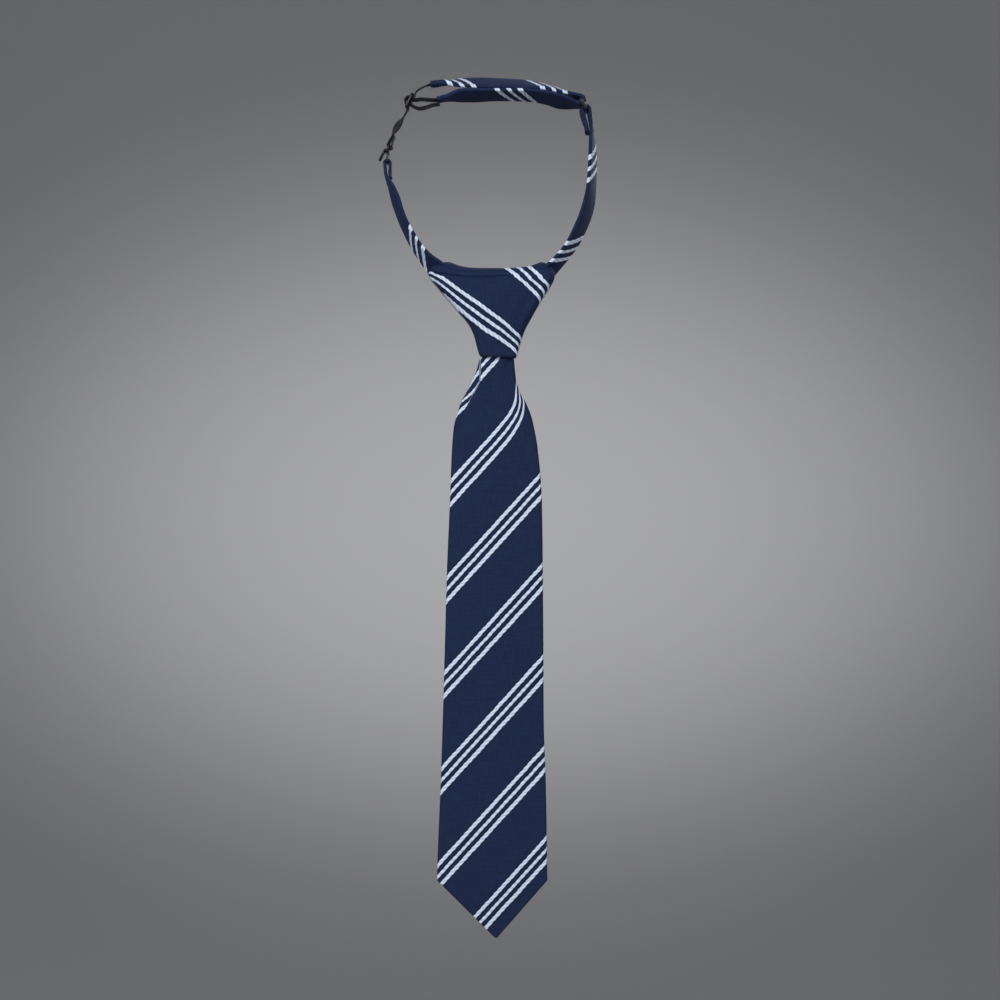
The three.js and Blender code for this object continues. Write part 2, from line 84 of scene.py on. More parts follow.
GATHER_REACH = 22.0
GATHER_DEPTH = 0.35
GATHER_TURNS = 8.5
PLEAT_CREST = 9.4
PLEAT_STRAIGHT = 14.0
PLEAT_MIDDLE = 23.0
PLEAT_DEPTH = 1.5
TUCK_DOWN = (12, 20, 28, 36, 50)
TUCK_TAKEN = (5.5, 6.5, 4.5, 3.2, 0)  # cloth that the pleat takes up at those places
ROLL_REACH = 5.6  # the cloth is drawn over the right shoulder within this distance of its edge
ROLL_DRAWN = 10.5
ROLL_LASTS = 43.0
ROLL_FADES = 24.0

# The stripes rise to the right across the cloth, in threes.
STRIPE_ANGLE = math.radians(47.7)
STRIPE_PERIOD = 36.66
STRIPE_PLACE = -137.4
STRIPE_COS = math.cos(STRIPE_ANGLE)
STRIPE_SIN = math.sin(STRIPE_ANGLE)


def smooth_read(places, values, at):
    """Reads values between the listed places on a smooth curve that never overshoots them."""
    places = np.asarray(places, float)
    values = np.asarray(values, float)
    at = np.clip(np.asarray(at, float), places[0], places[-1])
    width = np.diff(places)
    slope = np.diff(values) / width
    tangent = np.zeros(len(values))
    tangent[0] = slope[0]
    tangent[-1] = slope[-1]
    product = slope[:-1] * slope[1:]
    total = np.where(product > 0, slope[:-1] + slope[1:], 1.0)
    tangent[1:-1] = np.where(product > 0, 2 * product / total, 0.0)
    low = np.clip(np.searchsorted(places, at, side="right") - 1, 0, len(width) - 1)
    t = (at - places[low]) / width[low]
    start = (1 + 2 * t) * (1 - t) ** 2 * values[low] + t * t * (3 - 2 * t) * values[low + 1]
    bend = t * (1 - t) ** 2 * tangent[low] + t * t * (t - 1) * tangent[low + 1]
    return start + bend * width[low]


def ease(value):
    """Goes smoothly from 0 to 1 as value does."""
    value = np.clip(value, 0.0, 1.0)
    return value * value * (3 - 2 * value)


def place_mesh(name, points, faces, finish):
    """A smooth mesh of one material, in the scene."""
    mesh = bpy.data.meshes.new(name)
    mesh.from_pydata(points, [], faces)
    mesh.shade_smooth()
    mesh.materials.append(finish)
    piece = bpy.data.objects.new(name, mesh)
    bpy.context.scene.collection.objects.link(piece)
    return piece


def sew_skin(name, rings, cloth, finish, closed=False):
    """Makes a piece from rings of points in mm, with its two ends closed over or, where it is
    closed, joined. cloth gives, for each point and once more for the ring's first, its place on
    the flat cloth, in mm across and along."""
    rings = np.asarray(rings, float)
    cloth = np.asarray(cloth, float)
    rows, columns = rings.shape[:2]
    points = [*map(tuple, rings.reshape(-1, 3) * MM)]
    faces = []
    places = []
    for r in range(rows if closed else rows - 1):
        below = (r + 1) % rows
        for c in range(columns):
            after = (c + 1) % columns
            faces.append((r * columns + c, below * columns + c,
                          below * columns + after, r * columns + after))
            places += [cloth[r, c], cloth[below, c], cloth[below, c + 1], cloth[r, c + 1]]
    for r, turn in () if closed else ((0, 1), (rows - 1, -1)):
        middle = len(points)
        points.append(tuple(rings[r].mean(axis=0) * MM))
        for c in range(columns):
            pair = (c, c + 1)[::turn]
            faces.append((middle, r * columns + pair[0] % columns, r * columns + pair[1] % columns))
            places += [cloth[r].mean(axis=0), cloth[r, pair[0]], cloth[r, pair[1]]]
    piece = place_mesh(name, points, faces, finish)
    mesh = piece.data
    layer = mesh.uv_layers.new(name="cloth")
    layer.uv.foreach_set("vector", np.array(places, np.float32).ravel())
    mesh.validate()
    corners = np.array([mesh.vertices[v].co for f in mesh.polygons for v in f.vertices[:3]])
    first, second, third = corners[0::3], corners[1::3], corners[2::3]
    if np.einsum("ij,ij->i", first, np.cross(second, third)).sum() < 0:
        mesh.flip_normals()
    return piece


def paint(red, green, blue):
    """A colour as seen in daylight, 0 to 255 a channel, as the shader wants it."""
    seen = np.array([red, green, blue]) / 255
    linear = np.where(seen <= 0.04045, seen / 12.92, ((seen + 0.055) / 1.055) ** 2.4)
    return (*linear.tolist(), 1.0)


def new_finish(name, roughness, specular):
    """A material with one principled shader, that shader and the material's nodes."""
    finish = bpy.data.materials.new(name)
    finish.use_nodes = True
    shader = finish.node_tree.nodes["Principled BSDF"]
    shader.inputs["Roughness"].default_value = roughness
    shader.inputs["Specular IOR Level"].default_value = specular
    return finish, shader, finish.node_tree


def fill_socket(tree, socket, value):
    """Links a node's output to a socket, or sets the socket's own number or colour."""
    if isinstance(value, bpy.types.NodeSocket):
        tree.links.new(value, socket)
    else:
        socket.default_value = value


def calc(tree, operation, first, second=0.0, third=0.0):
    """One step of arithmetic in a material."""
    step = tree.nodes.new("ShaderNodeMath")
    step.operation = operation
    for socket, value in zip(step.inputs, (first, second, third)):
        fill_socket(tree, socket, value)
    return step.outputs[0]


def blend_colours(tree, share, first, second):
    """A colour between two others."""
    step = tree.nodes.new("ShaderNodeMix")
    step.data_type = "RGBA"
    fill_socket(tree, step.inputs[0], share)
    fill_socket(tree, step.inputs[6], first)
    fill_socket(tree, step.inputs[7], second)
    return step.outputs[2]


def ramp(tree, value, low, high):
    """Goes smoothly from 0 to 1 as the value crosses a range."""
    step = tree.nodes.new("ShaderNodeMapRange")
    step.interpolation_type = "SMOOTHSTEP"
    for socket, number in zip(step.inputs, (value, low, high)):
        fill_socket(tree, socket, number)
    return step.outputs[0]


def mottle(tree, place, across, along, scale, detail=2.0):
    """Soft irregular patches, drawn out across or along the cloth."""
    stretch = tree.nodes.new("ShaderNodeVectorMath")
    stretch.operation = "MULTIPLY"
    fill_socket(tree, stretch.inputs[0], place)
    stretch.inputs[1].default_value = (across, along, 1.0)
    noise = tree.nodes.new("ShaderNodeTexNoise")
    noise.inputs["Scale"].default_value = scale
    noise.inputs["Detail"].default_value = detail
    tree.links.new(stretch.outputs[0], noise.inputs["Vector"])
    return noise.outputs[0]


def cloth_place(tree):
    """The place on the flat cloth in mm, whole, across and along."""
    place = tree.nodes.new("ShaderNodeUVMap")
    place.uv_map = "cloth"
    split = tree.nodes.new("ShaderNodeSeparateXYZ")
    tree.links.new(place.outputs[0], split.inputs[0])
    return place.outputs[0], split.outputs[0], split.outputs[1]


def wave(tree, value, length):
    """A sine that comes round once a length."""
    return calc(tree, "SINE", calc(tree, "MULTIPLY", value, 2 * math.pi / length))


def dress(tree, shader, colour, roughness, height, depth):
    """Gives a surface its colour and roughness, and raises it by depth metres where height is 1."""
    fill_socket(tree, shader.inputs["Base Color"], colour)
    fill_socket(tree, shader.inputs["Roughness"], roughness)
    bump = tree.nodes.new("ShaderNodeBump")
    bump.inputs["Distance"].default_value = depth
    tree.links.new(height, bump.inputs["Height"])
    tree.links.new(bump.outputs[0], shader.inputs["Normal"])


NAVY = paint(24, 40, 73)
NAVY_DARK = paint(16, 27, 55)
NAVY_LIGHT = paint(36, 51, 85)
STRIPE_WHITE = paint(224, 237, 255)
# painted shade for the grooves of the stripes' twisted thread
STRIPE_SHADE = paint(197, 212, 240)
STRIPES = ((4.5, 0.99), (0.0, 0.84), (-4.5, 1.05))  # place from the middle one, half width
TWIST = 3.7  # length of one twist of the stripe's thread
TWILL_PITCH = 0.8
RIB_PITCH = 1.3


def make_striped_cloth():
    """Navy twill with pale stripes in threes, woven of thicker twisted thread."""
    finish, shader, tree = new_finish("striped_cloth", 0.75, 0.14)
    place, across, along = cloth_place(tree)
    uneven = calc(tree, "MULTIPLY_ADD", mottle(tree, place, 1, 1, 0.12), 0.7, -0.35)
    up = calc(tree, "MULTIPLY_ADD", along, STRIPE_COS, uneven)
    over = calc(tree, "MULTIPLY_ADD", across, -STRIPE_SIN, up)
    run = calc(tree, "MULTIPLY_ADD", along, STRIPE_SIN, calc(tree, "MULTIPLY", across, STRIPE_COS))
    turns = calc(tree, "MULTIPLY_ADD", over, 1 / STRIPE_PERIOD, 0.5 - STRIPE_PLACE / STRIPE_PERIOD)
    offset = calc(tree, "MULTIPLY_ADD", calc(tree, "FRACT", turns), STRIPE_PERIOD, -STRIPE_PERIOD / 2)

    # Each stripe is a twisted thread: it bulges once a turn, with a slanting groove between. The shade in
    # that groove is painted into the stripe's colour.
    turn = calc(tree, "MULTIPLY", run, 2 * math.pi / TWIST)
    bulge = calc(tree, "COSINE", turn)
    slant = calc(tree, "COSINE", calc(tree, "MULTIPLY_ADD", offset, 2.2, turn))
    stripe = 0.0
    flank_shadow = 0.0
    for centre, half in STRIPES:
        apart = calc(tree, "ABSOLUTE", calc(tree, "SUBTRACT", offset, centre))
        inside = calc(tree, "SUBTRACT", calc(tree, "MULTIPLY_ADD", bulge, 0.09 * half, half), apart)
        stripe = calc(tree, "MAXIMUM", stripe, ramp(tree, inside, -0.16, 0.16))
        # Each stripe's flank is a narrow band just outside it, which is darkened below as painted shadow.
        flank_shadow = calc(tree, "MAXIMUM", flank_shadow, ramp(tree, inside, -1.3, -0.3))

    # The navy ground is a fine twill with a faint check of thicker threads.
    twill = wave(tree, calc(tree, "ADD", run, over), TWILL_PITCH)
    rib = wave(tree, calc(tree, "SUBTRACT", run, over), RIB_PITCH)
    threads = calc(tree, "MULTIPLY_ADD", calc(tree, "MULTIPLY", twill, rib), 0.25, 0.5)
    warp = mottle(tree, place, 1.6, 0.12, 1.0)
    weft = mottle(tree, place, 0.1, 1.2, 1.0)
    streaks = ramp(tree, calc(tree, "ADD", warp, weft), 0.75, 1.25)
    soft = mottle(tree, place, 1, 1, 0.035)
    shade = calc(tree, "MULTIPLY_ADD", streaks, 0.55, calc(tree, "MULTIPLY", threads, 0.45))
    ground = blend_colours(tree, shade, NAVY_DARK, NAVY_LIGHT)
    ground = blend_colours(tree, calc(tree, "MULTIPLY", soft, 0.5), ground, NAVY)
    # Painted shadow: the navy darkens to NAVY_DARK in a narrow band beside each raised stripe.
    ground = blend_colours(tree, calc(tree, "MULTIPLY", flank_shadow, 0.65), ground, NAVY_DARK)
    # Painted shade: the pale stripes darken towards STRIPE_SHADE in the slanting grooves of their twist.
    white = blend_colours(tree, ramp(tree, slant, -1.0, 0.35), STRIPE_SHADE, STRIPE_WHITE)
    colour = blend_colours(tree, stripe, ground, white)

    rough = calc(tree, "MULTIPLY_ADD", streaks, 0.12, 0.68)
    rough = calc(tree, "MULTIPLY_ADD", stripe, -0.1, rough)
    shader.inputs["Sheen Weight"].default_value = 0.07
    shader.inputs["Sheen Roughness"].default_value = 0.4
    shader.inputs["Sheen Tint"].default_value = paint(150, 170, 220)
    relief = calc(tree, "MULTIPLY_ADD", calc(tree, "MULTIPLY_ADD", slant, 0.22, 0.78), stripe, threads)
    dress(tree, shader, colour, rough, relief, 0.00022)
    return finish


striped_cloth = make_striped_cloth()


def blade_rings():
    """The blade's rings from the knot down to the tip, and their places on the cloth."""
    rows = np.array(BLADE_ROWS).T
    body = np.linspace(rows[0][0], rows[0][-1], BODY_ROWS)
    point = np.linspace(rows[0][-1], BLADE_TIP[0], POINT_ROWS)[1:]
    downs = np.concatenate([body, point])
    parts = [smooth_read(rows[0], column, body) for column in rows[1:]]
    ends = [np.interp(point, (rows[0][-1], BLADE_TIP[0]), (column[-1], tip))
            for column, tip in zip(rows[1:], BLADE_TIP[1:])]
    left, right, front, back, crown = [np.concatenate(pair) for pair in zip(parts, ends)]
    rings = []
    cloth = []
    for i, down in enumerate(downs):
        ring, flat = blade_ring(down, left[i], right[i], front[i], back[i], crown[i])
        rings.append(ring)
        cloth.append(flat)
    return rings, cloth


def flap_edges(down, left, right):
    """Where the two folded sides end on the back, at one level."""
    middle = 0.5 * (left + right) + 0.25 * math.sin(down / 17)
    corner = BLADE_ROWS[-1][0]
    if down <= corner:
        open_share = max(0.0, (down - FLAPS_MEET) / (corner - FLAPS_MEET))
        low = middle + (left + HEM - middle) * open_share
        high = middle + (right - HEM - middle) * open_share
    else:
        low = left + HEM
        high = right - HEM
    return min(low, middle - 0.3), max(high, middle + 0.3)


def pleat_crest(down):
    """How far left of the middle the pleat's crest lies."""
    return PLEAT_CREST + 0.5 * max(0.0, down - PLEAT_STRAIGHT)


def blade_ring(down, left, right, front, back, crown):
    """One level of the blade, from the back seam round the left edge, the front, the right edge
    and back to the seam, then across the groove or the facing."""
    middle = 0.5 * (left + right)
    half = 0.5 * (right - left)
    thick = 0.5 * (back - front)
    edge = min(thick, 0.9 * half)
    deep = 0.5 * (front + back)
    low, high = flap_edges(down, left, right)
    span = high - low
    step = SEAM_STEP + (FLAP_STEP - SEAM_STEP) * float(ease((span - 0.6) / 6))
    lip = min(0.12, span / 5)
    plan = []
    for t in np.linspace(0, 1, FLAP_POINTS):
        plan.append((low + (left + edge - low) * t, back + FLAP_CROWN * math.sin(math.pi * t)))
    for turn in np.radians(np.linspace(90, 270, EDGE_POINTS + 2)[1:-1]):
        plan.append((left + edge + edge * math.cos(turn), deep + thick * math.sin(turn)))
    for t in np.linspace(-1, 1, FRONT_POINTS):
        plan.append((middle + (half - edge) * t, front - crown * (1 - t * t)))
    for turn in np.radians(np.linspace(-90, 90, EDGE_POINTS + 2)[1:-1]):
        plan.append((right - edge + edge * math.cos(turn), deep + thick * math.sin(turn)))
    for t in np.linspace(0, 1, FLAP_POINTS):
        lap = LAP_RISE * math.exp(-(1 - t) * (right - high) / 5)
        x = right - edge + (high - right + edge) * t
        plan.append((x, back + FLAP_CROWN * math.sin(math.pi * t) + lap))
    plan.append((high - 0.2 * lip, back - 0.25 * step))
    plan.append((high - lip, back - step))
    for t in np.linspace(1, 0, FACING_POINTS + 2)[1:-1]:
        plan.append((low + lip + (span - 2 * lip) * t, back - step))
    plan.append((low + lip, back - step))
    plan.append((low + 0.2 * lip, back - 0.25 * step))
    plan = np.array(plan)
    x = plan[:, 0]
    y = plan[:, 1].copy()

    # Gathers that spread down from the knot, and the pleat on the left shoulder.
    facing_front = y < deep
    near = math.exp(-((max(down, 0) / GATHER_REACH) ** 2))
    share = (x - middle) / half
    y[facing_front] += GATHER_DEPTH * near * np.cos(share[facing_front] * GATHER_TURNS + 0.6)
    fade = max(0.0, 1 - abs(down - PLEAT_MIDDLE) / PLEAT_MIDDLE)
    fold = ease((-x - pleat_crest(down)) / 1.1 + 0.3)
    y += np.where(facing_front, PLEAT_DEPTH * fade * fold, 0)
    # The hanging cloth isn't quite flat.
    y += 0.3 * math.sin(down / 31 + 0.6) + 0.12 * np.sin(down / 13 + x / 9)

    z = np.full(len(x), KNOT_BOTTOM - down)
    around = np.concatenate([[0], np.cumsum(np.hypot(np.diff(x), np.diff(plan[:, 1])))])
    front_part = slice(FRONT_FIRST, FRONT_FIRST + FRONT_POINTS)
    around -= np.interp(0, x[front_part], around[front_part])
    drawn = drawn_cloth(down, x, left, right, facing_front, around)
    flat = np.stack([around, z + drawn], axis=1)
    flat = np.vstack([flat, flat[:1]])
    flat[FACING_FIRST:, 0] = FACING_CLOTH - np.append(x[FACING_FIRST:], x[0])
    return np.stack([x, y, z], axis=1), flat


def drawn_cloth(down, x, left, right, facing_front, around):
    """How far the cloth is drawn along by the pleat and by the roll of the right shoulder."""
    lasts = 1 - ease((down - ROLL_LASTS) / ROLL_FADES)
    least = math.exp(-0.5 * (right - left) / ROLL_REACH)
    near = np.exp(-np.maximum(right - x, 0) / ROLL_REACH)
    roll = ROLL_DRAWN * lasts * np.maximum(near - least, 0) / (1 - least)
    roll = np.where(around > 0, np.where(facing_front, roll, ROLL_DRAWN * lasts), 0)
    taken = smooth_read(TUCK_DOWN, TUCK_TAKEN, down)
    tuck = taken * ease((-x - pleat_crest(down)) / 0.7 + 0.5)
    tuck = np.where(around < 0, np.where(facing_front, tuck, taken), 0)
    return (tuck - roll) / STRIPE_COS


blade_shape, blade_cloth = blade_rings()
front_blade = sew_skin("tie_blade", blade_shape, blade_cloth, striped_cloth)
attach(front_blade, "root")
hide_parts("front_blade")

# The knot is a wrap of the same cloth over a stuffed core, made once and never untied. Its top
# rim is rolled in round the neck bands and its two ends are sewn together down the back.
KNOT_RIM = -98.6
# down from the rim, left, right, front, back, corner, crown, tilt, sag
KNOT_ROWS = (
    (3.4, -22.0, 21.0, -2.6, 1.4, 1.8, 0.1, 0.0, 2.4),
    (0.2, -25.0, 24.4, -3.4, 2.6, 2.6, 0.2, 0.0, 3.2),
    (-1.0, -27.4, 26.8, -5.4, 4.6, 3.4, 0.4, -0.1, 3.7),
    (-0.5, -30.6, 29.6, -7.6, 6.5, 4.2, 0.8, -0.4, 3.8),
    (1.6, -35.0, 33.0, -10.0, 8.0, 5.0, 1.0, -1.0, 3.0),
    (5.4, -38.6, 34.6, -11.6, 8.6, 5.0, 1.4, -2.2, 1.4),
    (10.6, -39.6, 31.8, -11.8, 9.0, 5.0, 1.8, -3.4, 0.4),
    (16.8, -34.8, 27.9, -11.6, 9.0, 5.0, 2.0, -3.2, 0.0),
    (23.0, -29.0, 24.7, -11.3, 8.6, 4.8, 2.0, -2.4, 0.0),
    (30.6, -22.3, 20.5, -10.8, 8.0, 4.6, 1.8, -2.1, 0.0),
    (37.6, -16.3, 16.9, -10.0, 7.4, 4.2, 1.6, -2.0, 0.0),
    (44.0, -12.9, 14.9, -9.2, 6.6, 3.8, 1.3, -1.4, 0.0),
    (49.8, -11.2, 13.4, -8.4, 6.0, 3.4, 1.0, -0.8, 0.0),
    (53.8, -9.8, 12.5, -8.0, 5.6, 3.0, 0.8, -0.3, 0.0),
    (55.2, -8.5, 11.7, -7.2, 4.9, 2.6, 0.6, -0.3, 0.0),
    (54.4, -7.2, 10.7, -6.2, 3.9, 2.2, 0.4, -0.3, 0.0),
    (50.0, -6.6, 10.1, -5.7, 3.4, 2.0, 0.3, 0.0, 0.0),
)
KNOT_LEVELS = 170
CORNER_POINTS = 12
FACE_POINTS = 66
SIDE_POINTS = 6
# Folds pressed into the knot's front, by places across and up, with their width and depth.
KNOT_FOLDS = (
    (((-40.6, -98.4), (-38.4, -102.4), (-35.0, -105.4)), 1.3, 1.3),
    (((25.5, -101.6), (31.0, -101.0), (36.5, -103.4)), 1.4, 0.8),
    (((-30.0, -111.0), (-16.0, -126.0), (-8.0, -143.0)), 3.4, 0.5),
    (((24.0, -113.0), (15.0, -128.0), (9.0, -146.0)), 3.2, 0.5),
)
# The front panel's top edge lies over the rolled rim along this line, and sinks in at its right.
EDGE_ACROSS = (-42.0, -34.0, -19.0, -5.0, 8.0)
EDGE_UP = (-104.0, -105.8, -108.0, -108.2, -107.4)
EDGE_STEP = 1.7
EDGE_GROOVE = 1.1
SEAM_GROOVE = 0.7
SEAM_LAP = 0.5
# Heights of two threes of stripes on the knot's front, at places across it: the middle stripe
# and the height from one stripe to the next.
GUIDE_ACROSS = (-39.0, -31.0, -25.8, -17.8, -11.9, -7.0, 3.0, 8.3, 13.6, 24.0, 34.0)
LOW_MIDDLE = (-106.8, -112.5, -116.8, -123.3, -127.6, -131.3,
              -138.1, -142.2, -146.9, -157.0, -168.0)
LOW_SPACING = (2.8, 4.2, 4.8, 5.5, 5.9, 6.0, 5.5, 5.2, 5.2, 5.4, 5.6)
HIGH_MIDDLE = (-62.0, -66.0, -70.0, -76.5, -81.4, -85.2, -93.0, -97.2, -101.3, -111.3, -121.5)
HIGH_SPACING = (6.0, 6.0, 6.0, 6.0, 6.0, 6.0, 6.0, 6.1, 6.3, 6.4, 6.4)
STRIPE_APART = 4.5
# How fast the stripes fall round the knot's sides to its seam, and over its rim behind.
LEFT_SLOPE = 0.5
RIGHT_SLOPE = 0.75
RIM_SLOPE = 0.7


def knot_ring(left, right, front, back, corner, crown, tilt, sag, z):
    """One ring of the knot: round corners, a crowned front and a fuller back."""
    middle = 0.5 * (left + right)
    half = 0.5 * (right - left)
    corner = min(corner, 0.48 * (back - front), 0.8 * half)
    corners = ((left + corner, back - corner, 90), (left + corner, front + corner, 180),
               (right - corner, front + corner, 270), (right - corner, back - corner, 0))
    plan = []
    for k, (x, y, start) in enumerate(corners):
        plan += [(x + corner * math.cos(t), y + corner * math.sin(t))
                 for t in np.radians(start + np.linspace(0, 90, CORNER_POINTS))]
        next_x, next_y, next_start = corners[(k + 1) % 4]
        bend = math.radians(next_start)
        goal = (next_x + corner * math.cos(bend), next_y + corner * math.sin(bend))
        last = plan[-1]
        count = FACE_POINTS if k in (1, 3) else SIDE_POINTS
        for t in np.linspace(0, 1, count + 2)[1:-1]:
            plan.append((last[0] + (goal[0] - last[0]) * t, last[1] + (goal[1] - last[1]) * t))
    x, y = np.array(plan).T
    share = np.clip((x - middle) / half, -1, 1)
    bulge = 1 - share * share
    y = y - np.where(y < 0.5 * (front + back), crown * bulge, -0.5 * crown * bulge)
    return np.stack([x, y, z + tilt * share - sag * (1 - share ** 4)], axis=1)


def near_line(points, line):
    """How far each point lies from a line drawn through the listed points."""
    best = np.full(len(points), 1e9)
    line = np.array(line, float)
    for start, end in zip(line[:-1], line[1:]):
        way = end - start
        share = np.clip(((points - start) @ way) / (way @ way), 0, 1)
        best = np.minimum(best, np.linalg.norm(points - start - share[:, None] * way, axis=1))
    return best


def back_seam(down):
    """How far across the knot's back its seam lies."""
    return 1 + 0.02 * down


def knot_rings():
    """The knot's rings from inside its rim, over the rim and down to inside its bottom."""
    rows = np.array(KNOT_ROWS)
    steps = np.linspace(0, len(rows) - 1, KNOT_LEVELS)
    columns = [smooth_read(np.arange(len(rows)), column, steps) for column in rows.T]
    rings = []
    for down, left, right, front, back, corner, crown, tilt, sag in zip(*columns):
        ring = knot_ring(left, right, front, back, corner, crown, tilt, sag, KNOT_RIM - down)
        deep = 0.5 * (front + back)
        x, y, z = ring.T
        ahead = ease((deep - y) / 3)
        for line, width, depth in KNOT_FOLDS:
            near = near_line(ring[:, [0, 2]], line) / width
            y += depth * ahead * np.exp(-near * near)
        edge = np.interp(x, EDGE_ACROSS, EDGE_UP)
        lasts = ahead * ease((14 - x) / 10)
        y += EDGE_STEP * lasts * ease((z - edge) / 0.9 + 0.5)
        y += EDGE_GROOVE * lasts * np.exp(-(((z - edge - 0.6) / 0.7) ** 2))
        # The wrap's two ends meet down the middle of the back, the right over the left.
        behind = ease((y - deep) / 3)
        off_seam = x - back_seam(down)
        seam = behind * np.exp(-((off_seam / 0.7) ** 2))
        lap = behind * ease(off_seam / 0.8 + 0.5)
        y += SEAM_LAP * lap * np.exp(-np.abs(x - 1) / 7) - SEAM_GROOVE * seam
        # The stuffing shows through as faint lumps.
        y += 0.15 * np.sin(x / 4.1 + down / 6.3) * np.sin(down / 9 + 1.1)
        rings.append(ring)
    return np.array(rings)


def knot_stripes(across, up):
    """How far along the stripes' spacing each place on the knot's front lies."""
    low, low_gap, high, high_gap = [np.interp(across, GUIDE_ACROSS, heights) for heights in
                                    (LOW_MIDDLE, LOW_SPACING, HIGH_MIDDLE, HIGH_SPACING)]
    below = (up - low) / low_gap * STRIPE_APART
    above = STRIPE_PERIOD + (up - high) / high_gap * STRIPE_APART
    start = low + low_gap
    end = high - high_gap
    share = (up - start) / (end - start)
    between = STRIPE_APART + share * (STRIPE_PERIOD - 2 * STRIPE_APART)
    return np.where(up < start, below, np.where(up > end, above, between))


def knot_cloth(rings):
    """The knot's places on the cloth. Its stripes fan out over the front, go on round both sides
    to the seam, and go up over the rim behind."""
    runs = []
    overs = []
    backs = []
    for ring in rings:
        loop = np.vstack([ring, ring[:1]])
        x, y, z = loop.T
        steps = np.hypot(np.diff(x), np.diff(y))
        around = np.concatenate([[0], np.cumsum(steps)])
        deep = 0.5 * (y.min() + y.max())
        ahead = np.flatnonzero(y < deep)
        first, last = ahead[0], ahead[-1]
        left_behind = (np.arange(len(x)) > last) & (x < back_seam(KNOT_RIM - z)) & (y > deep)
        left_behind[-1] = True
        held = x.copy()
        held[:first] = x[first]
        held[last + 1:] = x[last]
        held[left_behind] = x[first]
        # How far each place has turned round the knot's side: left above nought, right below.
        slack = np.concatenate([[0], np.cumsum(steps - np.abs(np.diff(x)))])
        turned = slack[(first + last) // 2] - slack
        turned[:first] = turned[first] + around[first] - around[:first]
        turned[last + 1:] = turned[last] - (around[last + 1:] - around[last])
        turned[left_behind] = turned[first] + around[first] + around[-1] - around[left_behind]
        fall = np.where(turned > 0, LEFT_SLOPE, -RIGHT_SLOPE) * turned
        overs.append(knot_stripes(held, z) + fall + STRIPE_PLACE)
        runs.append(0.77 * (held - turned) - 0.64 * z)
        backs.append(ease((y - deep) / 3))
    overs = np.array(overs)
    loops = np.concatenate([rings, rings[:, :1]], axis=1)
    widest = np.argmax(np.ptp(loops[:, :, 0], axis=1))
    climb = np.zeros(loops.shape[1])
    for row in range(widest - 1, -1, -1):
        climb += np.linalg.norm(loops[row] - loops[row + 1], axis=1)
        overs[row] += backs[widest] * (overs[widest] + RIM_SLOPE * climb - overs[row])
    runs = np.array(runs)
    return np.stack([runs * STRIPE_COS - overs * STRIPE_SIN,
                     runs * STRIPE_SIN + overs * STRIPE_COS], axis=2)


knot_shape = knot_rings()
knot_piece = sew_skin("tie_knot", knot_shape, knot_cloth(knot_shape), striped_cloth)
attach(knot_piece, "root")
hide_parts("knot")

# The left neck band is a folded strip of the striped cloth. It comes out of the knot, narrows
# towards the hook, and its end is lapped round the hook's bar and stitched to itself.
BAND_WIDTH = 18.0
BAND_THICK = 2.0


def full(x, z, lean):
    """A row of a band where it has its full width."""
    return (x, z, 0.0, BAND_WIDTH, BAND_THICK, lean)


LEFT_BAND = (
    # across, up, away, width, thick, lean
    (-26.0, -109.4, -1.0, 15.0, 2.0, 36),
    (-31.0, -105.2, -1.0, 17.0, 2.0, 36),
    (-36.0, -100.8, -0.5, 18.0, 2.0, 31),
    full(-40.9, -95.9, 22),
    full(-45.9, -89.6, 17),
    full(-50.2, -82.4, 15),
    full(-53.9, -75.2, 13),
    full(-56.8, -68.0, 13),
    (-59.2, -60.4, 0.0, 17.0, 2.0, 15),
    (-61.8, -53.0, 0.0, 14.0, 1.7, 12),
    (-64.5, -47.0, 0.0, 10.0, 1.4, 5),
)
LAP_BAR = (-63.9, -39.2)
LEFT_END = (
    (-62.4, -42.4, 0.0, 10.0, 1.4, 0),
    (-62.6, -45.2, 0.0, 10.0, 1.4, 0),
    (-62.0, -48.2, 0.0, 10.0, 1.4, 0),
)

BAND_SLANT = 0.5  # the bands' stripes cross them this much less steeply than the blade's
BAND_PILLOW = 0.35
BAND_SEAM = 0.4
SEAM_HALF = 0.05
ARC_POINTS = 9  # points round each edge of a strap
LAP_STEPS = 6


def round_bar(bar, radius, start, end, steps, width, thick):
    """Rows of a strap where it turns round a bar, between two headings in degrees."""
    turns = np.radians(np.linspace(start, end, steps + 1))
    return [(bar[0] + radius * math.cos(t), bar[1] + radius * math.sin(t), 0.0, width, thick, 0)
            for t in turns]


def strap_line(rows, per_step):
    """Reads a strap's rows closely along a smooth curve through them."""
    rows = np.array(rows, float)
    gaps = np.sqrt(np.linalg.norm(np.diff(rows[:, :3], axis=0), axis=1))
    knots = np.concatenate([[0], np.cumsum(gaps)])
    padded = np.vstack([2 * rows[0] - rows[1], rows, 2 * rows[-1] - rows[-2]])
    times = np.concatenate([[-gaps[0]], knots, [knots[-1] + gaps[-1]]])
    line = []
    for i in range(1, len(rows)):
        p0, p1, p2, p3 = padded[i - 1:i + 3]
        t0, t1, t2, t3 = times[i - 1:i + 3]
        m1 = (p2 - p0) / (t2 - t0)
        m2 = (p3 - p1) / (t3 - t1)
        for t in np.linspace(0, 1, per_step, endpoint=False):
            h = t2 - t1
            line.append((2 * t ** 3 - 3 * t * t + 1) * p1 + (t ** 3 - 2 * t * t + t) * h * m1
                        + (3 * t * t - 2 * t ** 3) * p2 + (t ** 3 - t * t) * h * m2)
    line.append(rows[-1])
    return np.array(line)


